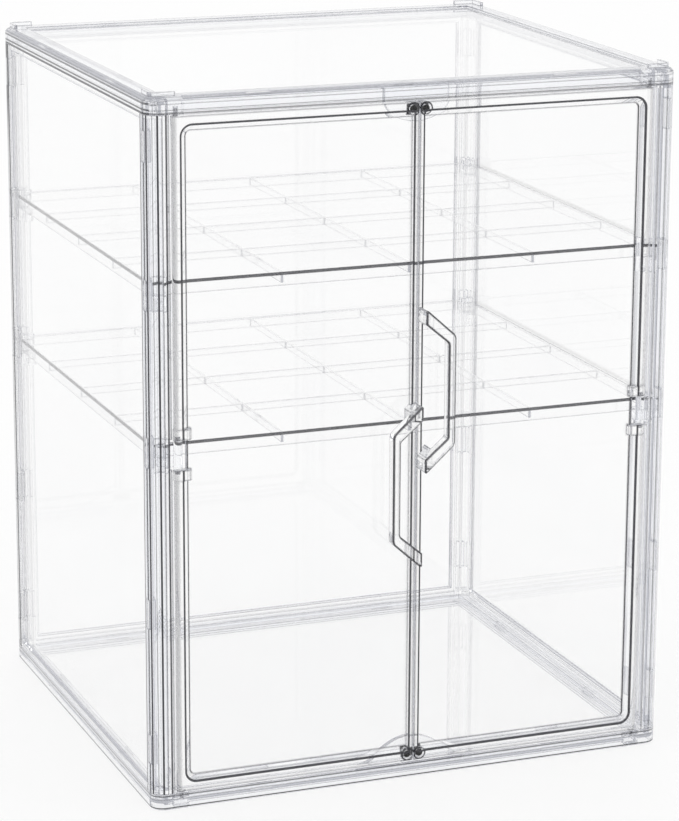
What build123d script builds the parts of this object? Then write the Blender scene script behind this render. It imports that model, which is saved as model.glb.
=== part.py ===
from build123d import *
import os

# Clear snap-together organizer for baby bottles: two channel-shaped rims, four corner posts, clear
# sheets snapped between them, two ribbed shelves and two hinged doors that close on magnets.
# Units are millimetres, +Z is up and the doors face -Y. Left and right are as seen from the front,
# so left is -X. Each piece is drawn about the centre of the cabinet's base. It is saved set back by
# half the depth of the handles, so that the origin is under the centre of the whole object.

# Overall size
width = 328.0
depth = 298.0
height = 422.0
corner_radius = 8.0
play = 0.2
seat = 0.1

# Rims and posts share one square section
rim_height = 10.0
section = 12.0
wall = 2.2
web_bottom = 4.2
web = 2.2
roof_web = 2.4
edge_slope = 2.2
edge_bevel = 0.8
foot_bevel = 1.2

# Stacking ribs on the top corners
stacking_rib_height = 2.5
stacking_rib = 2.0
stacking_rib_inset = 3.0
stacking_rib_length = 18.0

# Horizontal sheets and their snap tabs
sheet = 2.4
ledge = 2.5
ledge_thickness = 2.0
roof_recess = 1.4
tab_length = 14.0
tab_thickness = 1.4
tab_x = 95.0
tab_y = 70.0

# Upright panels with a bead round the edge
panel_sheet = 2.2
bead = 4.0
bead_thickness = 4.8
bead_bevel = 0.9

# Snap tongues that lock the upright panels into the posts
clip_levels = (37.0, 120.0, 217.0, 309.0, 394.0)
clip_height = 18.0
clip_reach = 6.6
barb_width = 3.4
barb_recess = 0.4

# Posts
post_cap = 2.0
spigot_size = 5.4
spigot_height = 6.8
spigot_corner = 1.7
spigot_bevel = 1.5
bore_corner = 3.5
jamb_width = 2.5
jamb_depth = 3.2
jamb_recess = 3.4

# Shelves and the lugs that carry them
shelf_tops = {"lower_shelf": 220.0, "upper_shelf": 315.0}
shelf_height = 8.0
shelf_plate = 2.0
shelf_skirt = 1.8
shelf_rib = 1.4
shelf_rib_height = 6.5
shelf_cells = 4
shelf_gap = 0.4
shelf_front_gap = 1.5
lug_width = 8.0
lug_reach = 11.0
lug_height = 9.0
lug_slope = 6.0
nib_reach = 3.5
nib_height = 2.8

# Doors
door_gap = 1.0
door_side_gap = 3.0
door_border = 5.4
door_sheet = 1.9
door_frame_width = 5.4
recess_slope = 3.2
free_edge_width = 2.8
recess_radius = 6.5
stile_radius = 2.6
pivot_radius = 1.5
pivot_length = 4.6
pivot_play = 0.08
pivot_boss = 9.0
pivot_boss_depth = 5.6
collar_height = 0.6
door_swing_gap = 0.4

# Middle hinge: a link that snaps into the post and turns between two knuckles of the door
hinge_middle = 215.25
barrel_height = 17.3
barrel_gap = 0.3
knuckle_height = 6.2
knuckle_radius = 2.9
knuckle_reach = 7.9
knuckle_bevel = 1.5
notch_reach = 5.2
nub_radius = 1.2
nub_length = 2.2
nub_play = 0.09
link_web = 2.4
link_flange = 0.8
link_flange_width = 3.6
link_slot_height = 14.0
anchor_reach = 6.2
anchor_depth = 4.4
anchor_height = 12.0

# Magnetic catch
magnet_radius = 2.2
magnet_play = 0.05
magnet_x = 3.9
magnet_edge = 4.0
boss_radius = 3.4
boss_rise = 0.5
door_magnet_length = 4.4
door_socket_depth = 4.6
keeper_width = 13.0
keeper_height = 5.0
keeper_thickness = 1.2
keeper_play = 0.1
stop_thickness = 3.0
upper_stop_half_width = 20.0
upper_stop_drop = 13.0
lower_stop_half_width = 34.0
lower_stop_rise = 15.0

# Handles: angular loops whose two feet stand on the free edge of the door
handle_levels = {"left": 185.0, "right": 242.0}
handle_outer = (50.0, 33.0)
handle_inner = (40.5, 28.5)
handle_reach = 19.0
handle_inner_reach = 14.2
handle_outer_bend = 5.0
handle_inner_bend = 2.5
handle_end_round = 1.0
handle_projection = 12.5
handle_bar = 6.5
handle_foot = 6.0
handle_bevel = 0.8
glue_line = 0.1

# Places worked out from the sizes above
half_width = width / 2
half_depth = depth / 2
roof = height - rim_height
channel = section - 2 * wall
web_top = web_bottom + web
inner_x = half_width - section
inner_y = half_depth - section
post_x = half_width - section / 2
post_y = half_depth - section / 2
roof_sheet_bottom = height - roof_recess - sheet
panel_outer = wall + play
panel_middle = panel_outer + panel_sheet / 2
door_outer_x = inner_x - door_side_gap
hinge_x = door_outer_x - stile_radius
hinge_y = half_depth - stile_radius
door_bottom = rim_height + door_gap
door_top = roof - door_gap
door_middle = (door_bottom + door_top) / 2
free_edge = door_gap / 2
door_back = half_depth - door_border
recess_depth = door_border - door_sheet
stop_front = door_back - door_swing_gap
stop_back = stop_front - stop_thickness
magnet_levels = (door_bottom + magnet_edge, door_top - magnet_edge)
shelf_half_width = half_width - panel_middle - bead_thickness / 2 - shelf_gap
shelf_back = half_depth - panel_middle - bead_thickness / 2 - shelf_gap
shelf_front = inner_y - shelf_front_gap
setback = handle_projection / 2

os.makedirs("parts", exist_ok=True)


def save(piece, name):
    """Label one finished piece and write it, set back by half the depth of the handles."""
    placed = piece.part.moved(Location((0, setback, 0)))
    placed.label = name
    export_step(placed, f"parts/{name}.step")


def ring(outer_inset, inner_inset):
    """Ring between two distances from the outside, with its outer corners rounded to match."""
    Rectangle(width - 2 * outer_inset, depth - 2 * outer_inset)
    if outer_inset < corner_radius:
        fillet(vertices(), corner_radius - outer_inset)
    Rectangle(width - 2 * inner_inset, depth - 2 * inner_inset, mode=Mode.SUBTRACT)


def tab_places(z):
    """Places of the eight tabs round a horizontal sheet, each with its turn about Z."""
    ends = [Location((x, y, z), (0, 0, 90)) for x in (-inner_x, inner_x) for y in (-tab_y, tab_y)]
    sides = [Location((x, y, z)) for x in (-tab_x, tab_x) for y in (-inner_y, inner_y)]
    return ends + sides


def rim_sheet(bottom):
    """Clear sheet that drops into a rim, with tabs that snap through the rim's inner wall."""
    with BuildSketch(Plane.XY.offset(bottom + seat)) as outline:
        Rectangle(2 * (inner_x - play), 2 * (inner_y - play))
    extrude(outline.sketch, amount=sheet)
    with Locations(*tab_places(bottom + seat + sheet / 2)):
        Box(tab_length, 2 * wall, tab_thickness)


def rim_ledge_and_slots(bottom):
    """Ledge under a rim's sheet, and slots for its tabs through the rim's inner wall."""
    with BuildSketch(Plane.XY.offset(bottom - ledge_thickness)) as outline:
        ring(section - wall / 2, section + ledge)
    extrude(outline.sketch, amount=ledge_thickness)
    with Locations(*tab_places(bottom + seat + sheet / 2)):
        Box(tab_length + 2 * play, 3 * wall, tab_thickness + 2 * play, mode=Mode.SUBTRACT)


def pivot_boss_and_bore(boss_bottom, boss_top, mouth, inward):
    """Two bosses in a rim's channel with the blind bores that the doors turn in."""
    boss_y = -half_depth + wall / 2 + pivot_boss_depth / 2
    for side in (-1, 1):
        with Locations((side * hinge_x, boss_y, (boss_bottom + boss_top) / 2)):
            Box(pivot_boss, pivot_boss_depth, boss_top - boss_bottom)
        with Locations((side * hinge_x, -hinge_y, mouth)):
            Cylinder(
                pivot_radius + pivot_play,
                pivot_length,
                align=(Align.CENTER, Align.CENTER, inward),
                mode=Mode.SUBTRACT,
            )


def keeper_pocket(level):
    """Shallow pocket in the front of a door stop for the steel plate that holds the magnets."""
    with BuildSketch(Plane.XZ.offset(stop_front)) as pocket:
        with Locations((0, level)):
            Rectangle(keeper_width + 2 * keeper_play, keeper_height + 2 * keeper_play)
    extrude(pocket.sketch, amount=-keeper_thickness - keeper_play, mode=Mode.SUBTRACT)


# Base frame: an H-shaped channel ring with a ledge for the floor, the lower door stop and pivots
with BuildPart() as base_frame:
    with BuildSketch(Plane.XY):
        ring(0, section)
    extrude(amount=rim_height)
    chamfer(base_frame.faces().sort_by(Axis.Z)[0].outer_wire().edges(), foot_bevel)
    with BuildSketch(Plane.XY.offset(rim_height)):
        ring(wall, section - wall)
    extrude(amount=-(rim_height - web_top), mode=Mode.SUBTRACT)
    with BuildSketch(Plane.XY):
        ring(wall, section - wall)
    extrude(amount=web_bottom, mode=Mode.SUBTRACT)
    rim_ledge_and_slots(web_bottom)
    pivot_boss_and_bore(foot_bevel, rim_height, rim_height, Align.MAX)
    with BuildSketch(Plane.XZ.offset(stop_back)):
        with BuildLine():
            shoulder = (0.5 * lower_stop_half_width, rim_height + 0.62 * lower_stop_rise)
            Spline(
                (-lower_stop_half_width, rim_height),
                (-shoulder[0], shoulder[1]),
                (0, rim_height + lower_stop_rise),
                shoulder,
                (lower_stop_half_width, rim_height),
                tangents=[(1, 0.1), (1, -0.1)],
            )
            Polyline(
                (lower_stop_half_width, rim_height),
                (lower_stop_half_width, web_top),
                (-lower_stop_half_width, web_top),
                (-lower_stop_half_width, rim_height),
            )
        make_face()
    extrude(amount=stop_thickness)
    keeper_pocket(magnet_levels[0])
save(base_frame, "base_frame")


# Top frame: a channel ring open downwards, with the upper door stop, pivots and stacking ribs
with BuildPart() as top_frame:
    with BuildSketch(Plane.XY.offset(roof)):
        ring(0, section)
    extrude(amount=rim_height)
    chamfer(top_frame.faces().sort_by(Axis.Z)[-1].outer_wire().edges(), edge_slope)
    chamfer(top_frame.faces().sort_by(Axis.Z)[-1].outer_wire().edges(), edge_bevel)
    with BuildSketch(Plane.XY.offset(roof)):
        ring(wall, section - wall)
    extrude(amount=rim_height - roof_web, mode=Mode.SUBTRACT)
    rim_ledge_and_slots(roof_sheet_bottom)
    with BuildSketch(Plane.XY.offset(height - roof_web / 2)):
        ring(stacking_rib_inset, stacking_rib_inset + stacking_rib)
        Rectangle(width, depth - 2 * stacking_rib_length, mode=Mode.SUBTRACT)
        Rectangle(width - 2 * stacking_rib_length, depth, mode=Mode.SUBTRACT)
    extrude(amount=roof_web / 2 + stacking_rib_height)
    pivot_boss_and_bore(roof, height - roof_web / 2, roof, Align.MIN)
    with BuildSketch(Plane.XZ.offset(stop_back)):
        with Locations((0, roof)):
            Ellipse(upper_stop_half_width, upper_stop_drop)
            Rectangle(
                3 * upper_stop_half_width,
                upper_stop_drop,
                align=(Align.CENTER, Align.MIN),
                mode=Mode.SUBTRACT,
            )
            Rectangle(
                2 * upper_stop_half_width, rim_height - roof_web, align=(Align.CENTER, Align.MIN)
            )
    extrude(amount=stop_thickness)
    keeper_pocket(magnet_levels[1])
save(top_frame, "top_frame")


with BuildPart() as floor_sheet:
    rim_sheet(web_bottom)
save(floor_sheet, "floor_sheet")

with BuildPart() as roof_sheet:
    rim_sheet(roof_sheet_bottom)
save(roof_sheet, "roof_sheet")


def post_outline(size, outer_corner):
    """Square about the left front post's axis, rounded at the corner of the cabinet."""
    inset = (section - size) / 2
    near_x, near_y = inset - half_width, inset - half_depth
    with Locations((near_x, near_y)):
        Rectangle(size, size, align=(Align.MIN, Align.MIN))
    fillet(vertices().sort_by(Axis.X)[:2].sort_by(Axis.Y)[0], outer_corner)


def post_spigot(foot, rise):
    """Eight-sided pin from an end of the post into a rim, with its far end bevelled all round."""
    with BuildSketch(Plane.XY.offset(foot)) as pin:
        with Locations((-post_x, -post_y)):
            Rectangle(spigot_size, spigot_size)
            chamfer(vertices(), spigot_corner)
    extrude(pin.sketch, amount=rise)


def post_body():
    """Left front post: capped tube, spigots, clip windows and shelf lugs."""
    with BuildSketch(Plane.XY.offset(rim_height + seat)) as outside:
        post_outline(section, corner_radius)
    extrude(outside.sketch, amount=roof - rim_height - 2 * seat)
    with BuildSketch(Plane.XY.offset(rim_height + post_cap)) as bore:
        post_outline(channel, bore_corner)
    extrude(bore.sketch, amount=roof - rim_height - 2 * post_cap, mode=Mode.SUBTRACT)
    post_spigot(rim_height + seat, web_top - rim_height)
    post_spigot(roof - seat, spigot_height)
    chamfer(faces().sort_by(Axis.Z)[-1].edges(), spigot_bevel)
    window_y = -inner_y - clip_reach + barb_width / 2 + play
    with Locations(*[(-half_width, window_y, z) for z in clip_levels]):
        Box(2 * (wall + play), barb_width + 2 * play, clip_height, mode=Mode.SUBTRACT)
    with Locations(*[(-half_width + panel_middle, -inner_y, z) for z in clip_levels]):
        Box(panel_sheet + 2 * play, 3 * wall, clip_height + 2 * play, mode=Mode.SUBTRACT)
    for top_z in shelf_tops.values():
        with BuildSketch(Plane.YZ.offset(-shelf_half_width)) as lug:
            with Locations((-inner_y, top_z - shelf_height - seat)):
                Rectangle(lug_reach, lug_height, align=(Align.MIN, Align.MAX))
            chamfer(vertices().sort_by(Axis.X)[-2:].sort_by(Axis.Y)[0], lug_slope)
            with Locations((-inner_y, top_z + play)):
                Rectangle(nib_reach, nib_height, align=(Align.MIN, Align.MIN))
        extrude(lug.sketch, amount=lug_width)


with BuildPart() as rear_post_blank:
    post_body()
    window_x = -inner_x - clip_reach + barb_width / 2 + play
    with Locations(*[(window_x, -half_depth, z) for z in clip_levels]):
        Box(barb_width + 2 * play, 2 * (wall + play), clip_height, mode=Mode.SUBTRACT)
    with Locations(*[(-inner_x, -half_depth + panel_middle, z) for z in clip_levels]):
        Box(3 * wall, panel_sheet + 2 * play, clip_height + 2 * play, mode=Mode.SUBTRACT)

with BuildPart() as rear_left_post:
    mirror(rear_post_blank.part, about=Plane.XZ)
save(rear_left_post, "rear_left_post")

with BuildPart() as rear_right_post:
    mirror(rear_left_post.part, about=Plane.YZ)
save(rear_right_post, "rear_right_post")

# A front post also has the jamb strip beside the door and a slot for the hinge link
link_y = -hinge_y + stile_radius - link_web / 2
with BuildPart() as front_left_post:
    post_body()
    with BuildSketch(Plane.XY.offset(rim_height + seat)):
        with Locations((-inner_x, -half_depth + jamb_recess)):
            Rectangle(jamb_width, jamb_depth, align=(Align.MIN, Align.MIN))
    extrude(amount=roof - rim_height - 2 * seat)
    with Locations((-inner_x + wall, -half_depth + jamb_recess, hinge_middle)):
        Box(2 * wall, 3 * jamb_depth, barrel_height + 2 * barrel_gap, mode=Mode.SUBTRACT)
    with Locations((-inner_x, link_y, hinge_middle)):
        Box(3 * wall, link_web + 2 * play, link_slot_height + 2 * play, mode=Mode.SUBTRACT)
save(front_left_post, "front_left_post")

with BuildPart() as front_right_post:
    mirror(front_left_post.part, about=Plane.YZ)
save(front_right_post, "front_right_post")


def upright_panel(plane, half_span):
    """Sheet with a bead round its edge and snap tongues, drawn from its outer side."""
    low = web_top + play
    high = roof + spigot_height
    middle_z = (rim_height + roof) / 2
    with BuildSketch(plane.offset(-panel_outer)) as flat:
        with Locations((0, (low + high) / 2)):
            Rectangle(2 * (half_span - seat), high - low)
        with Locations(*[(0, z) for z in clip_levels]):
            Rectangle(2 * (half_span + clip_reach), clip_height)
    extrude(flat.sketch, amount=-panel_sheet)
    with BuildSketch(plane.offset(bead_thickness / 2 - panel_middle)) as edge_bead:
        with Locations((0, middle_z)):
            Rectangle(2 * (half_span - seat), roof - rim_height - 2 * seat)
            Rectangle(
                2 * (half_span - bead), roof - rim_height - 2 * bead, mode=Mode.SUBTRACT
            )
    extrude(edge_bead.sketch, amount=-bead_thickness)
    bead_faces = faces().filter_by(lambda face: len(face.inner_wires()) == 1)
    chamfer([edge for face in bead_faces for edge in face.inner_wires()[0].edges()], bead_bevel)
    with BuildSketch(plane.offset(-barb_recess)) as barbs:
        barb_x = half_span + clip_reach - play - barb_width / 2
        with Locations(*[(side * barb_x, z) for side in (-1, 1) for z in clip_levels]):
            Rectangle(barb_width, clip_height - 3 * play)
    extrude(barbs.sketch, amount=barb_recess - panel_outer)


with BuildPart() as left_panel:
    upright_panel(Plane((-half_width, 0, 0), x_dir=(0, -1, 0), z_dir=(-1, 0, 0)), inner_y)
save(left_panel, "left_panel")

with BuildPart() as right_panel:
    mirror(left_panel.part, about=Plane.YZ)
save(right_panel, "right_panel")

with BuildPart() as back_panel:
    upright_panel(Plane((0, half_depth, 0), x_dir=(-1, 0, 0), z_dir=(0, 1, 0)), inner_x)
save(back_panel, "back_panel")


def shelf_outline():
    """Rectangle between the panels, notched round the two rear posts."""
    with Locations((0, (shelf_back - shelf_front) / 2)):
        Rectangle(2 * shelf_half_width, shelf_back + shelf_front)
    for side, align_x in ((-1, Align.MAX), (1, Align.MIN)):
        with Locations((side * (inner_x - shelf_gap), inner_y - shelf_gap)):
            Rectangle(section, section, align=(align_x, Align.MIN), mode=Mode.SUBTRACT)


for name, top_z in shelf_tops.items():
    with BuildPart() as shelf:
        with BuildSketch(Plane.XY.offset(top_z)):
            shelf_outline()
        extrude(amount=-shelf_plate)
        with BuildSketch(Plane.XY.offset(top_z - shelf_plate)):
            shelf_outline()
            offset(amount=-shelf_skirt, kind=Kind.INTERSECTION, mode=Mode.SUBTRACT)
        extrude(amount=shelf_plate - shelf_height)
        cell_width = 2 * shelf_half_width / shelf_cells
        cell_depth = (shelf_back + shelf_front) / shelf_cells
        with BuildSketch(Plane.XY.offset(top_z - shelf_plate)):
            with Locations((0, (shelf_back - shelf_front) / 2)):
                with GridLocations(cell_width, 0, shelf_cells - 1, 1):
                    Rectangle(shelf_rib, shelf_back + shelf_front - shelf_skirt)
                with GridLocations(0, cell_depth, 1, shelf_cells - 1):
                    Rectangle(2 * shelf_half_width - shelf_skirt, shelf_rib)
        extrude(amount=shelf_plate - shelf_rib_height)
    save(shelf, name)


# Doors: clear sheet and deep border, rounded stile, knuckles, pivots and bosses for the catch
with BuildPart() as left_door:
    with BuildSketch(Plane.XZ.offset(door_back)):
        with Locations((-free_edge, door_middle)):
            Rectangle(hinge_x - free_edge, door_top - door_bottom, align=(Align.MAX, Align.CENTER))
    extrude(amount=door_border)
    with BuildSketch(Plane.XZ.offset(half_depth - recess_depth)):
        with Locations((-free_edge - free_edge_width, door_middle)):
            Rectangle(
                door_outer_x - door_frame_width - free_edge - free_edge_width,
                door_top - door_bottom - 2 * door_frame_width,
                align=(Align.MAX, Align.CENTER),
            )
        fillet(vertices().sort_by(Axis.X)[:2], recess_radius)
    extrude(amount=recess_depth, mode=Mode.SUBTRACT)
    recess_floor = faces().filter_by(Axis.Y).sort_by(Axis.Y)[1]
    chamfer(recess_floor.edges().sort_by(Axis.X)[:-1], recess_slope)
    with BuildSketch(Plane.XZ.offset(door_back)):
        with Locations(*[(-magnet_x, level) for level in magnet_levels]):
            Circle(boss_radius)
    extrude(amount=door_border + boss_rise)
    with Locations((-hinge_x, -hinge_y, door_middle)):
        Cylinder(stile_radius, door_top - door_bottom)
    with Locations((-door_outer_x, -hinge_y, hinge_middle)):
        Box(
            2 * (stile_radius + notch_reach),
            3 * door_border,
            barrel_height + 2 * barrel_gap,
            mode=Mode.SUBTRACT,
        )
    for side in (-1, 1):
        knuckle_z = hinge_middle + side * (barrel_height + 2 * barrel_gap + knuckle_height) / 2
        with BuildSketch(Plane.XY.offset(knuckle_z - knuckle_height / 2)):
            with Locations((-hinge_x, -hinge_y)):
                Rectangle(knuckle_reach, 2 * knuckle_radius, align=(Align.MIN, Align.CENTER))
                chamfer(vertices().sort_by(Axis.X)[-2:], knuckle_bevel)
                Circle(knuckle_radius)
        extrude(amount=knuckle_height)
    with Locations((-hinge_x, -hinge_y, hinge_middle)):
        Cylinder(
            nub_radius + nub_play,
            barrel_height + 2 * (nub_length + barrel_gap),
            mode=Mode.SUBTRACT,
        )
    for z, away in ((door_bottom, Align.MAX), (door_top, Align.MIN)):
        with Locations((-hinge_x, -hinge_y, z)):
            Cylinder(
                pivot_radius, pivot_length - play, align=(Align.CENTER, Align.CENTER, away)
            )
    with Locations((-hinge_x, -hinge_y, door_bottom)):
        Cylinder(stile_radius, collar_height, align=(Align.CENTER, Align.CENTER, Align.MAX))
    with BuildSketch(Plane.XZ.offset(door_back)):
        with Locations(*[(-magnet_x, level) for level in magnet_levels]):
            Circle(magnet_radius + magnet_play)
    extrude(amount=door_socket_depth, mode=Mode.SUBTRACT)
save(left_door, "left_door")

with BuildPart() as right_door:
    mirror(left_door.part, about=Plane.YZ)
save(right_door, "right_door")

# Hinge link: barrel with two nubs, a web through the slot in the post and an anchor behind it
with BuildPart() as left_hinge_link:
    with Locations((-hinge_x, -hinge_y, hinge_middle)):
        Cylinder(stile_radius, barrel_height)
        Cylinder(nub_radius, barrel_height + 2 * nub_length)
    with BuildSketch(Plane.XY.offset(hinge_middle)):
        with Locations((-hinge_x, link_y)):
            Rectangle(
                inner_x - hinge_x + wall + play, link_web, align=(Align.MAX, Align.CENTER)
            )
    extrude(amount=link_slot_height / 2, both=True)
    with BuildSketch(Plane.XY.offset(hinge_middle)):
        with Locations((-inner_x + seat, link_y)):
            Rectangle(link_flange, link_flange_width, align=(Align.MIN, Align.CENTER))
    extrude(amount=barrel_height / 2, both=True)
    with BuildSketch(Plane.XY.offset(hinge_middle)):
        with Locations((-inner_x - wall - play, link_y - link_web / 2)):
            Rectangle(
                anchor_reach - wall - play, anchor_depth, align=(Align.MAX, Align.MIN)
            )
    extrude(amount=anchor_height / 2, both=True)
save(left_hinge_link, "left_hinge_link")

with BuildPart() as right_hinge_link:
    mirror(left_hinge_link.part, about=Plane.YZ)
save(right_hinge_link, "right_hinge_link")


def handle_outline(level):
    """Angular loop of the left handle, open towards the free edge."""
    outer_end, outer_bend = handle_outer
    inner_end, inner_bend = handle_inner
    corners = [
        (0, outer_end, handle_end_round),
        (handle_reach, outer_bend, handle_outer_bend),
        (handle_reach, -outer_bend, handle_outer_bend),
        (0, -outer_end, handle_end_round),
        (0, -inner_end, handle_end_round),
        (handle_inner_reach, -inner_bend, handle_inner_bend),
        (handle_inner_reach, inner_bend, handle_inner_bend),
        (0, inner_end, handle_end_round),
    ]
    with BuildLine() as loop:
        FilletPolyline(
            *[(-free_edge - reach, level + rise) for reach, rise, _ in corners],
            radius=[bend for _, _, bend in corners],
            close=True,
        )
    make_face(loop.edges())


def foot_outline(level, near):
    """Part of the left handle's outline that stands on the door, from a distance off the middle."""
    handle_outline(level)
    with Locations((-near, level)):
        Rectangle(
            free_edge + handle_foot - near,
            3 * handle_outer[0],
            align=(Align.MAX, Align.CENTER),
            mode=Mode.INTERSECT,
        )


def handle(level):
    """Left handle: bar in front of the door, with two feet stepped over the door's border."""
    front = half_depth + handle_projection
    with BuildSketch(Plane.XZ.offset(front - handle_bar)) as bar:
        handle_outline(level)
    extrude(bar.sketch, amount=handle_bar)
    chamfer(faces().sort_by(Axis.Y)[0].edges(), handle_bevel)
    with BuildSketch(Plane.XZ.offset(half_depth + glue_line)) as feet:
        foot_outline(level, free_edge)
    extrude(feet.sketch, amount=handle_projection - handle_bar - glue_line)
    with BuildSketch(Plane.XZ.offset(half_depth + glue_line)) as heels:
        foot_outline(level, free_edge + free_edge_width + glue_line)
    extrude(heels.sketch, amount=-recess_depth)


with BuildPart() as left_handle:
    handle(handle_levels["left"])
save(left_handle, "left_handle")

with BuildPart() as right_handle_blank:
    handle(handle_levels["right"])

with BuildPart() as right_handle:
    mirror(right_handle_blank.part, about=Plane.YZ)
save(right_handle, "right_handle")


# Catches: two magnet discs in each door, and a steel plate across both doors in each door stop
for side, name in ((-1, "left_door_magnets"), (1, "right_door_magnets")):
    with BuildPart() as magnets:
        with BuildSketch(Plane.XZ.offset(door_back + door_socket_depth)):
            with Locations(*[(side * magnet_x, level) for level in magnet_levels]):
                Circle(magnet_radius)
        extrude(amount=-door_magnet_length)
    save(magnets, name)

for level, name in zip(magnet_levels, ("lower_keeper", "upper_keeper")):
    with BuildPart() as keeper:
        with BuildSketch(Plane.XZ.offset(stop_front - keeper_thickness)):
            with Locations((0, level)):
                Rectangle(keeper_width, keeper_height)
        extrude(amount=keeper_thickness)
    save(keeper, name)
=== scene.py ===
import math

import bmesh
import bpy
from mathutils import Matrix, Vector

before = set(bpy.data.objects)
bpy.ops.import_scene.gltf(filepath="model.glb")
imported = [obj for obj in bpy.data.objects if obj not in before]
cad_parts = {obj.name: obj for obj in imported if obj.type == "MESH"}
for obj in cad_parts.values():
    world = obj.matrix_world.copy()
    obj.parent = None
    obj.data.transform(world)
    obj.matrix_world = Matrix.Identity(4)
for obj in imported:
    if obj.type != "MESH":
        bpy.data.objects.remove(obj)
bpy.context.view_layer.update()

# Places on the cabinet in metres. It stands back from the origin by half the depth of its handles.
setback = 0.00625
corner_radius = 0.008
corner_across = 0.156
corner_deep = 0.141
jamb_across = 0.1519
jamb_front = -0.139
shelf_tops = (0.220, 0.315)
shelf_end = 0.1577
shelf_front = setback - 0.1355
door_front = setback - 0.149
door_middle = 0.211
recess_across = 0.1436
recess_rise = 0.1946
recess_radius = 0.0065
recess_slope = 0.0032
free_edge = 0.0033
boss_across = 0.0039
boss_rise = 0.196
boss_ring = 0.0036
handle_front = door_front - 0.0125

# Painted shade: dark lines on posts and rims, in place of the dark that refraction shows in the
# clear walls. Place, half width and strength of each. The corner lines have their angle from the
# side to the front, the next ones their distance from the cabinet's middle and the last ones their
# height.
fade = 0.000125
corner_lines = (
    (0.21, 0.0005, 0.95), (0.52, 0.0005, 1.0), (1.0, 0.0002, 0.6), (1.38, 0.0005, 1.0)
)
front_lines = ((0.1548, 0.0002, 0.65), (0.1525, 0.0004, 0.95))
side_lines = ((0.1376, 0.0006, 0.9),)
rim_levels = (
    (0.0014, 0.0004, 0.9), (0.0066, 0.00015, 0.5), (0.0088, 0.0004, 0.75),
    (0.4128, 0.0004, 0.65), (0.4146, 0.0002, 0.55), (0.4180, 0.0002, 0.4),
)
side_rim_levels = ((0.4128, 0.0005, 0.95), (0.4149, 0.0004, 0.9), (0.4184, 0.0005, 0.8))

# Tints of the plastic, the near-black of its painted shade lines, and the shades of the cards round
# the studio
cool = (0.98, 0.984, 0.996)
bright = (0.999, 0.9993, 0.9997)
milky = (0.97, 0.975, 0.985)
painted_line_shades = (0.02, 0.02, 0.026, 1.0), (0.05, 0.05, 0.06, 1.0)
shadow_tint = (0.993, 0.994, 0.996, 1.0)
white = (1.0, 1.0, 1.0, 1.0)
dark_card = (0.6, 0.605, 0.64, 1.0)
low_card = (0.72, 0.725, 0.755, 1.0)
card_height = 0.42
refraction = 1.49


# Shader maths: a Value wraps a socket, and an expression on Values adds its Math nodes
class Value:
    def __init__(self, tree, socket):
        self.tree = tree
        self.socket = socket

    def math(self, operation, other=None, clamp=False):
        node = self.tree.nodes.new("ShaderNodeMath")
        node.operation = operation
        node.use_clamp = clamp
        plug(self.tree, self, node.inputs[0])
        if other is not None:
            plug(self.tree, other, node.inputs[1])
        return Value(self.tree, node.outputs[0])

    def __add__(self, other):
        return self.math("ADD", other)

    def __mul__(self, other):
        return self.math("MULTIPLY", other)

    def __sub__(self, other):
        return self.math("SUBTRACT", other)

    def __rsub__(self, other):
        return (self * -1.0) + other

    __radd__ = __add__
    __rmul__ = __mul__

    def __abs__(self):
        return self.math("ABSOLUTE")

    def maximum(self, other):
        return self.math("MAXIMUM", other)

    def minimum(self, other):
        return self.math("MINIMUM", other)

    def above(self, other):
        return self.math("GREATER_THAN", other)

    def below(self, other):
        return self.math("LESS_THAN", other)

    def clamped(self):
        return self.math("ADD", 0.0, clamp=True)


def plug(tree, value, socket):
    if isinstance(value, Value):
        tree.links.new(value.socket, socket)
    elif isinstance(value, bpy.types.NodeSocket):
        tree.links.new(value, socket)
    else:
        socket.default_value = value


def length(first, second):
    """Length of the slanted side over two level and upright distances."""
    return (first.math("POWER", 2.0) + second.math("POWER", 2.0)).math("POWER", 0.5)


class Nodes:
    """Adds any node to one tree, with its settings first and then its socket values or links."""

    def __init__(self, tree):
        self.tree = tree

    def add(self, kind, settings=None, **sockets):
        node = self.tree.nodes.new(kind)
        for name, setting in (settings or {}).items():
            setattr(node, name, setting)
        for name, value in sockets.items():
            plug(self.tree, value, node.inputs[name.replace("_", " ")])
        return node

    def value(self, node, output=0):
        return Value(self.tree, node.outputs[output])

    def axes(self, place):
        """The three parts of a place or direction."""
        split = self.add("ShaderNodeSeparateXYZ", Vector=place)
        return [self.value(split, axis) for axis in "XYZ"]

    def grain(self, place, scale, detail=3.0, roughness=0.5):
        return self.value(self.add(
            "ShaderNodeTexNoise", Vector=place, Scale=scale, Detail=detail, Roughness=roughness
        ))

    def colour(self, factor, first, second):
        node = self.add("ShaderNodeMix", {"data_type": "RGBA"})
        for value, number in ((factor, 0), (first, 6), (second, 7)):
            plug(self.tree, value, node.inputs[number])
        return node.outputs[2]

    def mixed(self, factor, first, second):
        """The first shader where the factor is 0, and the second where it is 1."""
        node = self.add("ShaderNodeMixShader")
        for value, socket in zip((factor, first, second), node.inputs):
            plug(self.tree, value, socket)
        return node.outputs[0]


def new_material(name):
    material = bpy.data.materials.new(name)
    material.use_nodes = True
    material.node_tree.nodes.clear()
    return material, Nodes(material.node_tree)


def seen_from_outside(nodes):
    """1 on a surface seen from the air, less where it is seen from within the plastic."""
    return 1.0 - nodes.value(nodes.add("ShaderNodeNewGeometry"), "Backfacing") * 0.75


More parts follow.
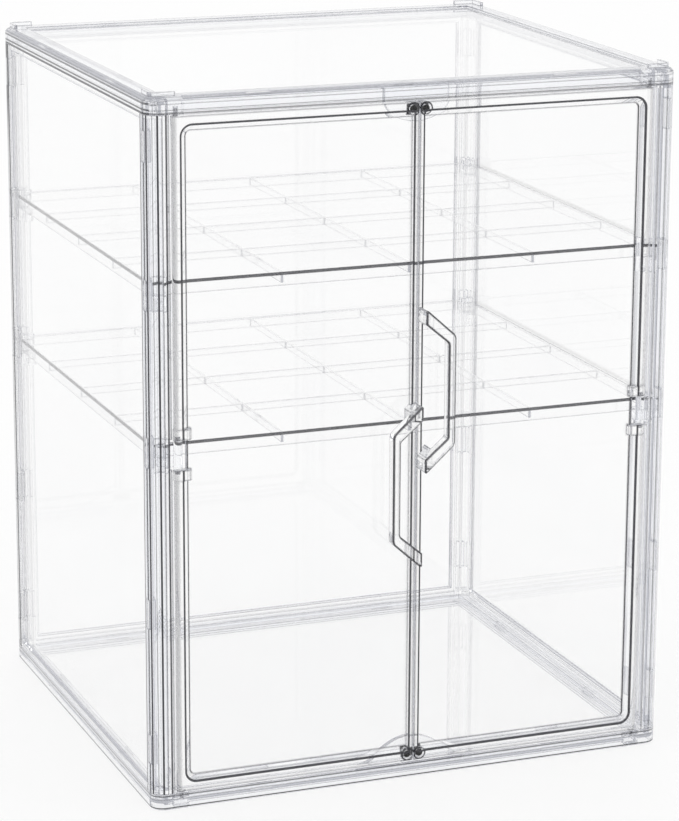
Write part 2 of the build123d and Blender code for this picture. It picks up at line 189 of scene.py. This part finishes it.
def painted_edge_mask(nodes, width, gain):
    """0 on open faces, rising to 1 within a width in metres of each sharp edge of the moulding, as
    the mask of the painted edge shade.
    """
    rounded = nodes.add("ShaderNodeBevel", {"samples": 4}, Radius=width)
    flat = nodes.add("ShaderNodeNewGeometry")
    match = nodes.add("ShaderNodeVectorMath", {"operation": "DOT_PRODUCT"})
    plug(nodes.tree, rounded.outputs[0], match.inputs[0])
    plug(nodes.tree, flat.outputs["Normal"], match.inputs[1])
    away = 1.0 - abs(nodes.value(match, "Value"))
    return (away * gain).clamped() * seen_from_outside(nodes)


def band(distance, half):
    """1 within half a width in metres of zero distance, with a soft rim beyond it."""
    return ((half + fade - abs(distance)) * (1.0 / fade)).clamped()


def strongest(values):
    """The highest of several Values."""
    total = values[0]
    for value in values[1:]:
        total = total.maximum(value)
    return total


def bands(distance, lines):
    """Several lines along one distance, each given as its place, half width and strength."""
    return strongest([band(distance - line, half) * strength for line, half, strength in lines])


def outer_face(nodes, place):
    """The outside of rims and posts, and the angle round their corners, 0 at the side."""
    x, y, _ = nodes.axes(place)
    out = (abs(x) - corner_across).maximum(0.0)
    forward = (abs(y - setback) - corner_deep).maximum(0.0)
    mask = length(out, forward).above(corner_radius - 0.0003)
    return mask, forward.math("ARCTAN2", out)


def post_lines(nodes, place, edges):
    """Painted shade: dark uprights where the walls of a hollow post turn, heavier on the left, and
    a painted shade over its door jamb.
    """
    x, y, z = nodes.axes(place)
    outside, angle = outer_face(nodes, place)
    round_corner = [
        band((angle - turn) * corner_radius, half) * strength
        for turn, half, strength in corner_lines
    ]
    # Painted shade along the rear corner, darker at the top and paler towards the floor
    fading_down = ((z - 0.345) * 30.0).clamped() * 0.6 + 0.35
    rear_corner = band(y - setback - 0.1396, 0.0032) * fading_down
    upright = strongest(round_corner + [
        bands(abs(x), front_lines), bands(abs(y - setback), side_lines), rear_corner
    ])
    # Painted shade over the door jamb, and every painted line heavier on the left side
    at_left = (x * -200.0).clamped()
    in_jamb = (jamb_across - abs(x)).above(0.0) * (jamb_front - y).above(0.0)
    jamb = in_jamb * (at_left * 0.25 + 0.1)
    drawn = (upright * outside * (at_left * 0.45 + 0.55)).maximum(jamb)
    return (drawn * seen_from_outside(nodes)).maximum(edges * (at_left * 0.2 + 0.2))


def rim_lines(nodes, place, edges):
    """Painted shade: dark lines along the outer walls of both rims, with heavier ones at the sides.
    """
    z = nodes.axes(place)[2]
    outside, angle = outer_face(nodes, place)
    along = bands(z, rim_levels).maximum(bands(z, side_rim_levels) * angle.below(0.8))
    return (along * outside * seen_from_outside(nodes)).maximum(edges * 0.45)


def shelf_lines(nodes, place, edges):
    """Painted shade: a dark line along the cut edge of a shelf's plate, at its front and its two
    ends.
    """
    x, y, z = nodes.axes(place)
    cut = (abs(x) - shelf_end).maximum(shelf_front - y).above(-0.0003)
    plate = bands(z, [(top - 0.0009, 0.0009, 0.92) for top in shelf_tops])
    return (plate * cut * seen_from_outside(nodes)).maximum(edges * 0.2)


def door_lines(nodes, place, edges):
    """Painted shade: dark contours of a door's recess, its free edge and the bosses of its catch.
    """
    x, y, z = nodes.axes(place)
    from_middle = abs(z - door_middle)
    beside = abs(x) - (recess_across - recess_radius)
    above = from_middle - (recess_rise - recess_radius)
    corner = length(beside.maximum(0.0), above.maximum(0.0))
    outer = corner + beside.maximum(above).minimum(0.0) - recess_radius
    contour = band(outer.maximum(free_edge - abs(x)) - 0.0003, 0.0006)
    boss = band(length(abs(x) - boss_across, from_middle - boss_rise) - boss_ring, 0.0004)
    at_front = ((door_front + 0.0009 - y) * 4000.0).clamped()
    at_floor = ((door_front + 0.0029 - y) * -4000.0).clamped()
    # Painted shade round the floor of the recess, heavier along its sides
    floor_line = band(outer + recess_slope, 0.0003) * (beside.above(above) * 0.65 + 0.25)
    drawn = (contour.maximum(boss) * at_front).maximum(floor_line * at_floor)
    return (drawn * seen_from_outside(nodes)).maximum(edges * 0.25) * 0.95


def handle_lines(nodes, place, edges):
    """Painted shade: dark bevels and edges round the front of a handle's bar."""
    y = nodes.axes(place)[1]
    at_front = ((handle_front + 0.0012 - y) * 4000.0).clamped()
    tilt = abs(nodes.axes(nodes.add("ShaderNodeTexCoord").outputs["Normal"])[1])
    # Painted shade on the slanted bevel faces
    bevels = ((0.93 - tilt) * 20.0).clamped() * ((tilt - 0.3) * 20.0).clamped()
    drawn = bevels * seen_from_outside(nodes)
    return drawn.maximum(edges * (at_front * 0.75 + 0.2)) * 0.95


def clear_plastic(
    name, tint, ripple, edge, painted_edge_shade, gain=14.0, haze=0.0, painted_glow_grey=0.52, lines=None
):
    """Clear moulded plastic: painted dark lines and edge shade, faint tint, slow ripple of the
    moulding and fine scuffs.

    The edge is the width in metres that the painted edge shade darkens. The last grey is a painted
    glow, an emission in place of the light that rays lose after many turns inside the plastic.
    """
    material, nodes = new_material(name)
    place = nodes.add("ShaderNodeTexCoord").outputs["Object"]
    flow = nodes.grain(place, 18.0, detail=2.0)
    wave = nodes.grain(place, 42.0, detail=1.0)
    fine = nodes.grain(place, 420.0, detail=4.0, roughness=0.62)
    scuffs = (fine - 0.66).clamped() * 0.9
    edges = painted_edge_mask(nodes, edge, gain)
    # Painted edge shade: the base colour darkens towards each sharp edge
    deeper = [0.985 * part for part in tint]
    shade = nodes.colour(
        edges,
        nodes.colour(flow, (*tint, 1.0), (*deeper, 1.0)),
        (painted_edge_shade, painted_edge_shade, 1.1 * painted_edge_shade, 1.0),
    )
    height = wave * ripple + fine * (0.02 * ripple)
    bump = nodes.add("ShaderNodeBump", Strength=0.25, Distance=0.001, Height=height).outputs[0]
    shader = nodes.add(
        "ShaderNodeBsdfPrincipled",
        Base_Color=shade,
        Roughness=(haze + scuffs * 0.2).clamped(),
        IOR=refraction,
        Transmission_Weight=1.0,
        Normal=bump,
    ).outputs[0]
    # Painted shade: a near-black gloss mixed in where the painted lines lie
    if lines:
        dark = nodes.add(
            "ShaderNodeBsdfPrincipled",
            Base_Color=nodes.colour(fine, *painted_line_shades),
            Roughness=0.22,
            IOR=refraction,
            Normal=bump,
        )
        shader = nodes.mixed(lines(nodes, place, edges), shader, dark.outputs[0])
    path = nodes.add("ShaderNodeLightPath")
    # Painted glow: rays that have turned many times show an emission of grey where they would end
    # black
    lost = nodes.value(path, "Ray Depth").above(26.5)
    lost = lost.maximum(nodes.value(path, "Glossy Depth").above(7.5))
    grey = (painted_glow_grey, painted_glow_grey + 0.01, painted_glow_grey + 0.05, 1.0)
    glow = nodes.add("ShaderNodeEmission", Color=grey, Strength=1.0)
    shader = nodes.mixed(lost, shader, glow.outputs[0])
    shadow = nodes.add("ShaderNodeBsdfTransparent", Color=shadow_tint)
    shader = nodes.mixed(path.outputs["Is Shadow Ray"], shader, shadow.outputs[0])
    nodes.add("ShaderNodeOutputMaterial", Surface=shader)
    return material


def plated_magnet():
    """Dark plated metal with a fine grain, for the magnets and the steel plates behind them."""
    material, nodes = new_material("plated_magnet")
    place = nodes.add("ShaderNodeTexCoord").outputs["Object"]
    fine = nodes.grain(place, 900.0)
    bump = nodes.add("ShaderNodeBump", Strength=0.1, Distance=0.0004, Height=fine)
    shader = nodes.add(
        "ShaderNodeBsdfPrincipled",
        Base_Color=nodes.colour(fine, (0.05, 0.05, 0.055, 1.0), (0.12, 0.12, 0.13, 1.0)),
        Metallic=1.0,
        Roughness=0.18 + fine * 0.12,
        Normal=bump.outputs[0],
    )
    nodes.add("ShaderNodeOutputMaterial", Surface=shader.outputs[0])
    return material


# Copies of one clear plastic that differ in tint, painted edge shade, painted lines and the grey of
# the painted glow; the front posts carry heavier painted shade and a paler painted glow than the
# rear ones
finishes = {
    "rim": clear_plastic("rim_clear", cool, 0.03, 0.0008, 0.6, gain=60.0, lines=rim_lines),
    "front_post": clear_plastic(
        "front_post_clear", cool, 0.03, 0.0008, 0.5, gain=60.0, painted_glow_grey=0.74, lines=post_lines
    ),
    "rear_post": clear_plastic("rear_post_clear", bright, 0.03, 0.0006, 0.7, lines=post_lines),
    "sheet": clear_plastic("sheet_clear", bright, 0.01, 0.0008, 0.3),
    "panel": clear_plastic("panel_clear", bright, 0.01, 0.0008, 0.4),
    "shelf": clear_plastic("shelf_clear", bright, 0.015, 0.0012, 0.35, lines=shelf_lines),
    "door": clear_plastic("door_clear", bright, 0.01, 0.0015, 0.2, gain=100.0, lines=door_lines),
    "handle": clear_plastic(
        "handle_clear", bright, 0.02, 0.0012, 0.2, gain=100.0, lines=handle_lines
    ),
    "link": clear_plastic("hinge_clear", milky, 0.03, 0.0005, 0.25, haze=0.05),
    "magnet": plated_magnet(),
}

# Finish of each piece, by the first of these words that is in its name
finish_words = {
    "magnets": "magnet",
    "keeper": "magnet",
    "link": "link",
    "handle": "handle",
    "door": "door",
    "shelf": "shelf",
    "sheet": "sheet",
    "panel": "panel",
    "front": "front_post",
    "rear": "rear_post",
    "frame": "rim",
}
for name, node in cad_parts.items():
    finish = next(finish for word, finish in finish_words.items() if word in name)
    for slot in node.material_slots:
        slot.material = finishes[finish]


# Stage: pale floor, soft light and the camera
def seen_directly(nodes):
    """1 for rays that show the background: from the camera, off gloss and through clear plastic."""
    path = nodes.add("ShaderNodeLightPath")
    return strongest([
        nodes.value(path, ray)
        for ray in ("Is Camera Ray", "Is Glossy Ray", "Is Transmission Ray")
    ])


def turned_inside(nodes):
    """1 for light that an edge has turned inside the plastic, which shows the studio's cards."""
    path = nodes.add("ShaderNodeLightPath")
    mirrors = nodes.value(path, "Glossy Depth")
    turned = mirrors.above(0.5) * 0.15 + mirrors.above(1.5) * 0.85
    return turned * nodes.value(path, "Transmission Depth").above(1.5)


def card_stripes(x, y, count, phase):
    """Pale and dark cards round the object, as a value from 0 to 1 that changes with direction."""
    around = y.math("ARCTAN2", x)
    broad = (around * count + phase).math("SINE") * 0.5 + 0.5
    narrow = (around * (2.7 * count) + 2.0 * phase).math("SINE") * 0.5 + 0.5
    return (broad * 0.7 + narrow * 0.5).clamped()


def pale_floor():
    mesh = bpy.data.meshes.new("floor")
    shape = bmesh.new()
    bmesh.ops.create_circle(shape, cap_ends=True, segments=96, radius=12.0)
    shape.to_mesh(mesh)
    shape.free()
    floor = bpy.data.objects.new("floor", mesh)
    bpy.context.scene.collection.objects.link(floor)
    material, nodes = new_material("pale_floor")
    place = nodes.add("ShaderNodeTexCoord").outputs["Object"]
    fine = nodes.grain(place, 60.0)
    shade = nodes.colour(fine, (0.955, 0.958, 0.955, 1.0), (0.965, 0.967, 0.965, 1.0))
    matt = nodes.add("ShaderNodeBsdfPrincipled", Base_Color=shade, Roughness=0.6)
    paper = nodes.add("ShaderNodeEmission", Color=white, Strength=1.0)
    backdrop = nodes.mixed(seen_directly(nodes) * 0.75, matt.outputs[0], paper.outputs[0])
    x, y, _ = nodes.axes(place)
    cards = nodes.colour(card_stripes(x, y, 11.0, 0.0), low_card, white)
    glow = nodes.add("ShaderNodeEmission", Color=cards, Strength=1.0)
    shader = nodes.mixed(turned_inside(nodes), backdrop, glow.outputs[0])
    nodes.add("ShaderNodeOutputMaterial", Surface=shader)
    mesh.materials.append(material)
    floor.location.z = -0.0002


def sun(name, place, spread, strength):
    """Soft parallel light, even over the whole floor."""
    light = bpy.data.lights.new(name, "SUN")
    light.angle = math.radians(spread)
    light.energy = strength
    holder = bpy.data.objects.new(name, light)
    holder.rotation_euler = (-Vector(place)).to_track_quat("-Z", "Y").to_euler()
    bpy.context.scene.collection.objects.link(holder)


def white_world(ambient):
    """White all round at full strength where it is seen, and at the ambient strength as light."""
    world = bpy.data.worlds.new("studio")
    world.use_nodes = True
    world.node_tree.nodes.clear()
    nodes = Nodes(world.node_tree)
    strength = seen_directly(nodes) * (1.0 - ambient) + ambient
    x, y, z = nodes.axes(nodes.add("ShaderNodeTexCoord").outputs["Generated"])
    high = ((z - card_height) * 6.0).clamped()
    dark = turned_inside(nodes) * high * (1.0 - card_stripes(x, y, 7.0, 1.0))
    shade = nodes.colour(dark, white, dark_card)
    shader = nodes.add("ShaderNodeBackground", Color=shade, Strength=strength)
    nodes.add("ShaderNodeOutputWorld", Surface=shader.outputs[0])
    bpy.context.scene.world = world


def camera():
    azimuth, elevation, roll = math.radians(21.18), math.radians(14.97), math.radians(0.247)
    forward = Vector((
        math.sin(azimuth) * math.cos(elevation),
        math.cos(azimuth) * math.cos(elevation),
        -math.sin(elevation),
    ))
    level = Vector((math.cos(azimuth), -math.sin(azimuth), 0.0))
    upright = level.cross(forward)
    right = level * math.cos(roll) + upright * math.sin(roll)
    up = right.cross(forward)
    data = bpy.data.cameras.new("camera")
    data.sensor_fit = "VERTICAL"
    data.sensor_height = 36.0
    data.lens = 141.36
    data.clip_end = 100.0
    holder = bpy.data.objects.new("camera", data)
    place = Vector((-0.7006, -1.8318 + setback, 0.7157))
    turn = Matrix((right, up, -forward)).transposed().to_4x4()
    holder.matrix_world = Matrix.Translation(place) @ turn
    bpy.context.scene.collection.objects.link(holder)
    bpy.context.scene.camera = holder


pale_floor()
sun("overhead", (-0.3, -0.4, 1.0), 40.0, 0.7)
sun("left", (-1.0, -0.6, 0.7), 25.0, 0.3)
white_world(0.75)
camera()

scene = bpy.context.scene
scene.view_settings.view_transform = "Standard"
scene.cycles.max_bounces = 40
scene.cycles.transmission_bounces = 40
scene.cycles.glossy_bounces = 16
scene.cycles.transparent_max_bounces = 48
